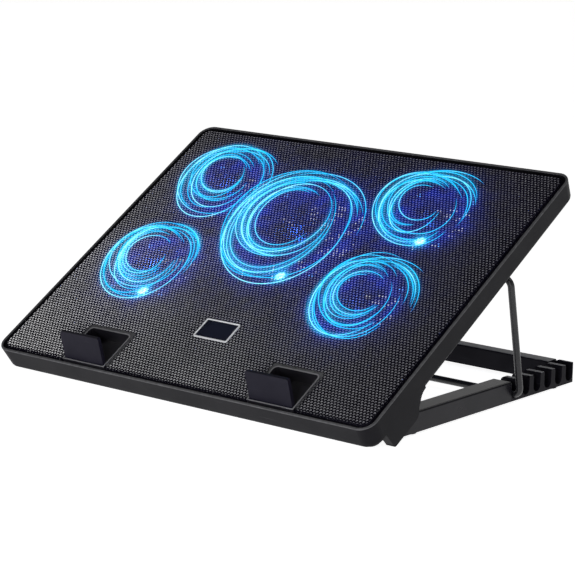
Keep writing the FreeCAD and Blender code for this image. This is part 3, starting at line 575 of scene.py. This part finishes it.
def perforated_field():
    """The sheet's hexagonal holes on a staggered grid, in strips, each hole with its own wall."""
    row_pitch = PITCH * math.sqrt(3) / 2
    cell_radius = PITCH / math.sqrt(3)
    columns = int(PANEL_HALF / PITCH) + 2
    first_row = int(FLAT_FRONT / row_pitch) - 3
    last_row = int(PANEL_REAR / row_pitch) + 3
    angles = np.radians(30.0 + 60.0 * np.arange(HOLE_SIDES))
    per_strip = (last_row - first_row) // STRIPS + 1
    for strip in range(STRIPS):
        low_row = first_row + strip * per_strip
        rows = np.arange(low_row, min(low_row + per_strip, last_row + 1))
        grid_x, grid_row = np.meshgrid(np.arange(-columns, columns + 1), rows)
        centre_x = (grid_x + 0.5 * (grid_row % 2)).ravel() * PITCH
        centre_v = grid_row.ravel() * row_pitch
        corner_x = centre_x[:, None] + cell_radius * np.cos(angles)
        corner_v = centre_v[:, None] + cell_radius * np.sin(angles)
        reach = edge_reach(corner_x, corner_v)[0]
        keep = (reach.max(1) < HOLED_REACH) & ~near_pocket(centre_x, centre_v, POCKET_MARGIN)
        centre_x = centre_x[keep]
        centre_v = centre_v[keep]
        corner_x = corner_x[keep]
        corner_v = corner_v[keep]
        hole_x = centre_x[:, None] + HOLE_RADIUS * np.cos(angles)
        hole_v = centre_v[:, None] + HOLE_RADIUS * np.sin(angles)
        # Neighbouring cells share their corners, so each corner is kept once.
        keys = np.stack([np.round(corner_x * 50), np.round(corner_v * 50)], -1).reshape(-1, 2)
        first, back = np.unique(keys, axis=0, return_index=True, return_inverse=True)[1:]
        shared = rolled(corner_x.ravel()[first], corner_v.ravel()[first], 0.0)
        top = rolled(hole_x.ravel(), hole_v.ravel(), WEB_CROWN)
        foot_x = centre_x[:, None] + HOLE_FOOT * np.cos(angles)
        foot_v = centre_v[:, None] + HOLE_FOOT * np.sin(angles)
        low = rolled(foot_x.ravel(), foot_v.ravel(), SHEET)
        points = to_row(np.concatenate([shared, top, low]))
        spill_shared = light_spill(corner_x.ravel()[first], corner_v.ravel()[first])
        spill_hole = light_spill(hole_x.ravel(), hole_v.ravel())
        count = len(centre_x) * HOLE_SIDES
        outer = back.reshape(-1, HOLE_SIDES)
        inner = len(shared) + np.arange(count).reshape(-1, HOLE_SIDES)
        under = inner + count
        faces = []
        for side in range(HOLE_SIDES):
            after = (side + 1) % HOLE_SIDES
            faces.append(np.stack([outer[:, side], outer[:, after], inner[:, after], inner[:, side]], -1))
            faces.append(np.stack([inner[:, side], inner[:, after], under[:, after], under[:, side]], -1))
        name = "mesh_field_%d" % (strip + 1)
        field = mesh_object(name, points, np.concatenate(faces), "mesh", "pad")
        # The hole walls take the finish with the painted highlight.
        field.data.materials.append(MATERIALS["mesh_cut_painted_highlight"])
        in_wall = np.tile(np.repeat([0, 1], len(centre_x)), HOLE_SIDES)
        field.data.polygons.foreach_set("material_index", in_wall.astype(np.int32))
        layer = field.data.attributes.new("spill", "FLOAT", "POINT")
        layer.data.foreach_set("value", np.concatenate([spill_shared, spill_hole, spill_hole]))
        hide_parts("top_mesh_panel")


def thicken(obj):
    """Give a plain part of the sheet its thickness, downwards."""
    thick = obj.modifiers.new("sheet", "SOLIDIFY")
    thick.thickness = PLAIN_SHEET * MM
    thick.offset = -1.0


def panel_outline():
    """Points round the edge of the panel's flat part, with the way out at each."""
    stops = []
    steps = 8
    straight_half = FLAT_HALF - FLAT_CORNER
    corners = (
        (straight_half, FLAT_FRONT + FLAT_CORNER, -90.0),
        (straight_half, FLAT_REAR - FLAT_CORNER, 0.0),
        (-straight_half, FLAT_REAR - FLAT_CORNER, 90.0),
        (-straight_half, FLAT_FRONT + FLAT_CORNER, 180.0),
    )
    for centre_x, centre_v, start in corners:
        for step in range(steps + 1):
            angle = math.radians(start + step * 90.0 / steps)
            out = (math.cos(angle), math.sin(angle))
            stops.append((centre_x + FLAT_CORNER * out[0], centre_v + FLAT_CORNER * out[1], out))
        if start == 180.0:
            for x in (-POCKET_X - POCKET_HALF, -POCKET_X + POCKET_HALF,
                      POCKET_X - POCKET_HALF, POCKET_X + POCKET_HALF):
                stops.append((x, FLAT_FRONT, (0.0, -1.0)))
    return stops


def panel_rim():
    """Plain rolled border of the sheet, cut through at the two stopper openings."""
    stops = panel_outline()
    quarter = ROLL * math.pi / 2
    reaches = (1.6, 2.2, 2.7, 3.1, quarter, quarter + SKIRT)
    sink = 0.12
    grid = []
    for x, v, out in stops:
        for reach in reaches:
            flat_x = x + out[0] * reach
            flat_v = v + out[1] * reach
            grid.append(rolled(np.array(flat_x), np.array(flat_v), sink))
    faces = []
    count = len(stops)
    width = len(reaches)
    for index in range(count):
        after = (index + 1) % count
        middle = (stops[index][0] + stops[after][0]) / 2
        at_front = stops[index][2][1] == -1.0 and stops[after][2][1] == -1.0
        if at_front and abs(abs(middle) - POCKET_X) < POCKET_HALF - 1.0:
            continue
        for band in range(width - 1):
            faces.append((index * width + band, index * width + band + 1,
                          after * width + band + 1, after * width + band))
    rim = mesh_object("mesh_rim", to_row(np.array(grid)), faces, "mesh", "pad")
    thicken(rim)


def opening_outline(gap, long_cut, short_cut):
    """Three sides of a stopper opening, widened by a gap, each rear corner cut in two steps."""
    side = POCKET_HALF + gap
    rear = POCKET_REAR_V + gap
    right = ((side - long_cut, rear), (side - short_cut, rear - short_cut),
             (side, rear - long_cut), (side, FLAT_FRONT))
    left = tuple((-x, v) for x, v in reversed(right))
    return left + right


def pocket_borders():
    """Plain margins of the sheet round each stopper opening."""
    top = PANEL_TOP_W - 0.1
    outline_in = opening_outline(0.1, 4.6, 1.4)
    outline_out = opening_outline(3.1, 5.0, 1.2)
    count = len(outline_in)
    faces = [(index, index + 1, count + index + 1, count + index) for index in range(count - 1)]
    for side, sign in (("left", -1), ("right", 1)):
        points = [(sign * POCKET_X + x, v, top) for x, v in outline_in + outline_out]
        thicken(mesh_object("mesh_margin_" + side, to_row(points), faces, "shell", "pad"))


# ---------------------------------------------------------------- lights in the pad
def tube_along(path, radii, sides):
    """Vertices and faces of a tube through pad-frame points, its radius given at each point; the ends are
    not capped.
    """
    points = []
    faces = []
    count = len(path)
    for index in range(count):
        before = path[max(index - 1, 0)]
        after = path[min(index + 1, count - 1)]
        run = (after - before) / np.linalg.norm(after - before)
        side = np.array([run[1], -run[0], 0.0])
        side = side / np.linalg.norm(side)
        rise = np.cross(side, run)
        for turn in range(sides):
            angle = 2 * math.pi * turn / sides
            points.append(path[index] + radii[index] * (side * math.cos(angle) + rise * math.sin(angle)))
    for index in range(count - 1):
        for turn in range(sides):
            after = (turn + 1) % sides
            faces.append((index * sides + turn, index * sides + after,
                          (index + 1) * sides + after, (index + 1) * sides + turn))
    return points, faces


TRAIL_STEPS = 72
TRAIL_RADIUS = 0.34
TRAIL_W = PANEL_TOP_W - 0.08
LOOP_BEARING = 129.0
WISPS = 5
BIG_FAN = 50.0
# Middle of each fan's loops, in x and v. It isn't the fan's axis.
TRAIL_CENTRES = {
    "front_left": (-127.0, 130.0),
    "front_right": (92.0, 130.0),
    "rear_left": (-124.0, 235.0),
    "rear_right": (80.0, 237.0),
    "middle": (-28.0, 196.0),
}


def trail_set(name, outer):
    """Loops over a fan and wisps that leave them: each path, its brightness, its spill's width."""
    rng = random.Random("trails " + name)
    big = outer > BIG_FAN
    loops = 13 if big else 10
    reach = 74.0 if big else 51.0
    round_share = 0.80 if big else 0.76
    x, v = TRAIL_CENTRES[name]
    trails = []
    for index in range(loops):
        rank = index / (loops - 1)
        size = reach * (0.48 + 0.50 * rank) * rng.uniform(0.96, 1.04)
        slide = reach * 0.20 * (rank - 0.6)
        centre_x = x + 0.31 * slide + reach * rng.uniform(-0.05, 0.05)
        centre_v = v - 0.95 * slide + reach * rng.uniform(-0.05, 0.05)
        turn = math.radians(LOOP_BEARING + rng.uniform(-16, 16))
        squeeze = round_share * rng.uniform(0.90, 1.08)
        start = math.radians(rng.uniform(30, 95))
        span = math.radians(rng.uniform(225, 340))
        spiral = rng.uniform(-0.20, 0.10)
        bright = rng.uniform(0.55, 1.6)
        spread = 3.2 if index % 3 == 1 else 1.0
        path = []
        levels = []
        for step in range(TRAIL_STEPS + 1):
            share = step / TRAIL_STEPS
            angle = start + span * share
            radius = size * (1.0 + spiral * (share - 0.5))
            along = radius * math.cos(angle - turn)
            across = radius * squeeze * math.sin(angle - turn)
            path.append((centre_x + along * math.cos(turn) - across * math.sin(turn),
                         centre_v + along * math.sin(turn) + across * math.cos(turn)))
            levels.append(bright * math.sin(math.pi * share) ** 0.6)
        trails.append((np.array(path), np.array(levels), spread))
    for index in range(WISPS):
        size = reach * rng.uniform(0.70, 0.88)
        start = math.radians(rng.uniform(80, 135))
        span = math.radians(rng.uniform(80, 125))
        flare = rng.uniform(0.10, 0.34)
        bright = rng.uniform(0.6, 1.3)
        spread = 3.0 if index == 2 else 1.0
        path = []
        levels = []
        for step in range(TRAIL_STEPS + 1):
            share = step / TRAIL_STEPS
            angle = start - span * share
            radius = size * (1.0 + flare * share * share)
            path.append((x + radius * math.cos(angle), v + radius * math.sin(angle)))
            levels.append(bright * math.sin(math.pi * share) ** 0.9)
        trails.append((np.array(path), np.array(levels), spread))
    return trails


TRAILS = {name: trail_set(name, outer) for name, _, _, outer in FANS}
# Fans with a bright chip, and its distance from the axis as a share of the duct's radius.
SPOTS = (("front_left", 0.83), ("rear_right", 0.81), ("middle", 0.92))
SPOT_BEARING = math.radians(-69.0)


def spot_places():
    """Pad-frame places of the three chips that shine straight through the sheet."""
    by_name = {name: (x, v, outer) for name, x, v, outer in FANS}
    places = []
    for name, share in SPOTS:
        x, v, outer = by_name[name]
        reach = outer * share
        places.append((name, x + reach * math.cos(SPOT_BEARING), v + reach * math.sin(SPOT_BEARING)))
    return places


def soft_spot(distance, strength, width):
    """Light at a distance from a source, falling off smoothly over a width."""
    return strength * np.exp(-(distance / width) ** 2)


def light_spill(x, v):
    """Light that the trails and the bright chips throw on the sheet at each flat point."""
    total = np.zeros(len(x))
    for name, _, _, outer in FANS:
        trail_x, trail_v = TRAIL_CENTRES[name]
        near = np.nonzero(np.hypot(x - trail_x, v - trail_v) < outer * 1.1 + 20.0)[0]
        if len(near) == 0:
            continue
        here = np.zeros(len(near))
        for path, levels, spread in TRAILS[name]:
            gap = np.hypot(x[near][:, None] - path[None, :, 0], v[near][:, None] - path[None, :, 1])
            closest = gap.argmin(1)
            distance = gap[np.arange(len(near)), closest]
            core = soft_spot(distance, 0.30 if spread > 1.0 else 0.14, spread)
            halo = soft_spot(distance, 0.09, 2.4) + soft_spot(distance, 0.012, 8.0)
            here = here + levels[closest] * (core + halo)
        total[near] += here
    for name, spot_x, spot_v in spot_places():
        dx = x - spot_x
        dv = v - spot_v
        reach = np.hypot(dx, dv)
        total += soft_spot(reach, 4.0, 2.9) + soft_spot(reach, 0.65, 7.5)
        for first, second in ((dx, dv), (dv, dx), (dx + dv, dx - dv), (dx - dv, dx + dv)):
            total += soft_spot(first, 0.9, 0.8) * np.exp(-np.abs(second) / 5.0)
    return total


def light_trails(name):
    """Thin glowing loops set in the top of the sheet, their crests just proud of it."""
    sides = 6
    points = []
    faces = []
    level = []
    for path, levels, spread in TRAILS[name]:
        radii = np.maximum(TRAIL_RADIUS * (levels / levels.max()) ** 0.5, 0.03)
        depth = np.full((len(path), 1), TRAIL_W)
        path = np.concatenate([path, depth], 1)
        base = len(points)
        new_points, new_faces = tube_along(path, radii, sides)
        points.extend(new_points)
        faces.extend([tuple(base + corner for corner in face) for face in new_faces])
        level.extend(np.repeat(levels, sides))
    obj = mesh_object("light_trails_" + name, to_row(points), faces, "trail", "pad")
    layer = obj.data.attributes.new("glow_level", "FLOAT", "POINT")
    layer.data.foreach_set("value", level)


def light_spots():
    """Star-shaped glints on the sheet over the three brightest chips."""
    for name, x, v in spot_places():
        centre = np.array([x, v, PANEL_TOP_W + 0.04])
        points = [centre + np.array([0.0, 0.0, 0.3])]
        faces = []
        around = 16
        for index in range(around):
            turn = 2 * math.pi * index / around
            reach = 0.9 if index % 2 else 4.4
            points.append(centre + np.array([reach * math.cos(turn), reach * math.sin(turn), 0.0]))
        for index in range(around):
            faces.append((0, 1 + index, 1 + (index + 1) % around))
        obj = mesh_object("light_spot_" + name, to_row(points), faces, "trail", "pad")
        layer = obj.data.attributes.new("glow_level", "FLOAT", "POINT")
        layer.data.foreach_set("value", [2.0] + [1.4 if index % 2 else 1.0 for index in range(around)])


def inner_ribs():
    """Two long ribs of the inner tray that show faintly through the holes."""
    foot = -6.0
    shoulder = -2.9
    crest = -2.5
    bevel = 0.4
    ribs = (
        ("rear", (-150.0, 164.8, 269.2, 270.8)),
        ("side", (163.2, 164.8, 70.0, 269.2)),
    )
    for name, outline in ribs:
        x0, x1, v0, v1 = outline
        bevelled = (x0 + bevel, x1 - bevel, v0 + bevel, v1 - bevel)
        points = []
        for w, (a0, a1, b0, b1) in ((foot, outline), (shoulder, outline), (crest, bevelled)):
            points.extend([(a0, b0, w), (a1, b0, w), (a1, b1, w), (a0, b1, w)])
        faces = [(0, 3, 2, 1), (8, 9, 10, 11)]
        for layer in range(2):
            for side in range(4):
                after = (side + 1) % 4
                faces.append((layer * 4 + side, layer * 4 + after,
                              layer * 4 + 4 + after, layer * 4 + 4 + side))
        mesh_object("inner_rib_" + name, to_row(points), faces, "rib", "pad")


def inner_lamps():
    """Blue lamps inside the tray, one over each fan, that wash the blades."""
    for name, x, v, outer in FANS:
        data = bpy.data.lights.new("fan_lamp_" + name, "POINT")
        data.energy = 0.10 if outer > BIG_FAN else 0.05
        data.color = (0.02, 0.16, 1.0)
        data.shadow_soft_size = 0.004
        lamp = bpy.data.objects.new("fan_lamp_" + name, data)
        bpy.context.scene.collection.objects.link(lamp)
        lamp.location = to_row([(x, v, -2.2)])[0]
        lamp.parent = frame["bodies"]["pad"]


# ---------------------------------------------------------------- studio
def area_light(name, place, target, size, size_y, energy):
    """White rectangular light aimed at a target, hidden from the camera; sizes in metres."""
    data = bpy.data.lights.new(name, "AREA")
    data.shape = "RECTANGLE"
    data.size = size
    data.size_y = size_y
    data.energy = energy
    lamp = bpy.data.objects.new(name, data)
    bpy.context.scene.collection.objects.link(lamp)
    lamp.location = place
    away = Vector(place) - Vector(target)
    lamp.rotation_euler = away.to_track_quat("Z", "Y").to_euler()
    lamp.visible_camera = False


def white_floor():
    """Wide pale floor that glows a little, so that it reads as white paper."""
    shader = Shader("floor_paint")
    tone = shader.mix(shader.noise(1.5, 2.0), rgb(0.70, 0.70, 0.70), rgb(0.74, 0.74, 0.74))
    shader.join(tone, shader.bsdf.inputs["Base Color"])
    shader.bsdf.inputs["Roughness"].default_value = 0.7
    shader.bsdf.inputs["Specular IOR Level"].default_value = 0.1
    shader.bsdf.inputs["Emission Color"].default_value = rgb(1.0, 1.0, 1.0)
    shader.bsdf.inputs["Emission Strength"].default_value = 0.92
    mesh = bpy.data.meshes.new("floor")
    reach = 12.0
    corners = [(-reach, -reach, 0), (reach, -reach, 0), (reach, reach, 0), (-reach, reach, 0)]
    mesh.from_pydata(corners, [], [(0, 1, 2, 3)])
    mesh.materials.append(shader.material)
    floor = bpy.data.objects.new("floor", mesh)
    bpy.context.scene.collection.objects.link(floor)


def ramp(tree, value, from_low, from_high, to_low, to_high):
    """Map Range node in the world's tree."""
    made = tree.nodes.new("ShaderNodeMapRange")
    tree.links.new(value, made.inputs["Value"])
    made.inputs["From Min"].default_value = from_low
    made.inputs["From Max"].default_value = from_high
    made.inputs["To Min"].default_value = to_low
    made.inputs["To Max"].default_value = to_high
    return made.outputs["Result"]


def surroundings():
    """White world: brightest low down behind the object, dim in front, almost dark overhead."""
    world = bpy.data.worlds.new("studio")
    bpy.context.scene.world = world
    world.use_nodes = True
    tree = world.node_tree
    background = tree.nodes["Background"]
    direction = tree.nodes.new("ShaderNodeTexCoord").outputs["Generated"]
    split = tree.nodes.new("ShaderNodeSeparateXYZ")
    tree.links.new(direction, split.inputs[0])
    low_sky = ramp(tree, split.outputs["Z"], 0.25, 0.6, 1.0, 0.0)
    behind = ramp(tree, split.outputs["Y"], -0.2, 0.6, 0.10, 0.60)
    both = tree.nodes.new("ShaderNodeMath")
    both.operation = "MULTIPLY"
    tree.links.new(low_sky, both.inputs[0])
    tree.links.new(behind, both.inputs[1])
    sky = tree.nodes.new("ShaderNodeMath")
    sky.operation = "ADD"
    sky.inputs[1].default_value = 0.03
    tree.links.new(both.outputs[0], sky.inputs[0])
    tree.links.new(sky.outputs[0], background.inputs["Strength"])
    background.inputs["Color"].default_value = rgb(1.0, 1.0, 1.0)


def studio():
    """Floor, world and three soft lights."""
    white_floor()
    surroundings()
    area_light("low_key", (0.45, -1.10, 0.22), (-0.05, -0.02, 0.08), 0.4, 0.3, 5.0)
    area_light("front_left", (-0.85, -1.10, 0.40), (-0.05, -0.10, 0.03), 0.5, 0.4, 3.2)
    area_light("top_right", (0.95, 0.25, 1.25), (0.1, 0.0, 0.08), 0.5, 0.5, 2.6)


def camera():
    """Long lens from the front right, a little above the tray."""
    data = bpy.data.cameras.new("photo_view")
    data.sensor_width = 36.0
    data.lens = 150.26
    data.clip_end = 50.0
    obj = bpy.data.objects.new("photo_view", data)
    bpy.context.scene.collection.objects.link(obj)
    right = Vector((0.7720, 0.6354, 0.0167))
    up = Vector((-0.1424, 0.1472, 0.9788))
    back = Vector((0.6195, -0.7580, 0.2041))
    basis = Matrix((right, up, back)).transposed()
    obj.matrix_world = Matrix.Translation(Vector((1.1849, -1.4519, 0.4653))) @ basis.to_4x4()
    bpy.context.scene.camera = obj


dress_nodes()
perforated_field()
panel_rim()
pocket_borders()
for fan_name in TRAILS:
    light_trails(fan_name)
light_spots()
inner_ribs()
inner_lamps()
studio()
camera()
bpy.context.scene.view_settings.view_transform = "Standard"

bpy.context.view_layer.update()
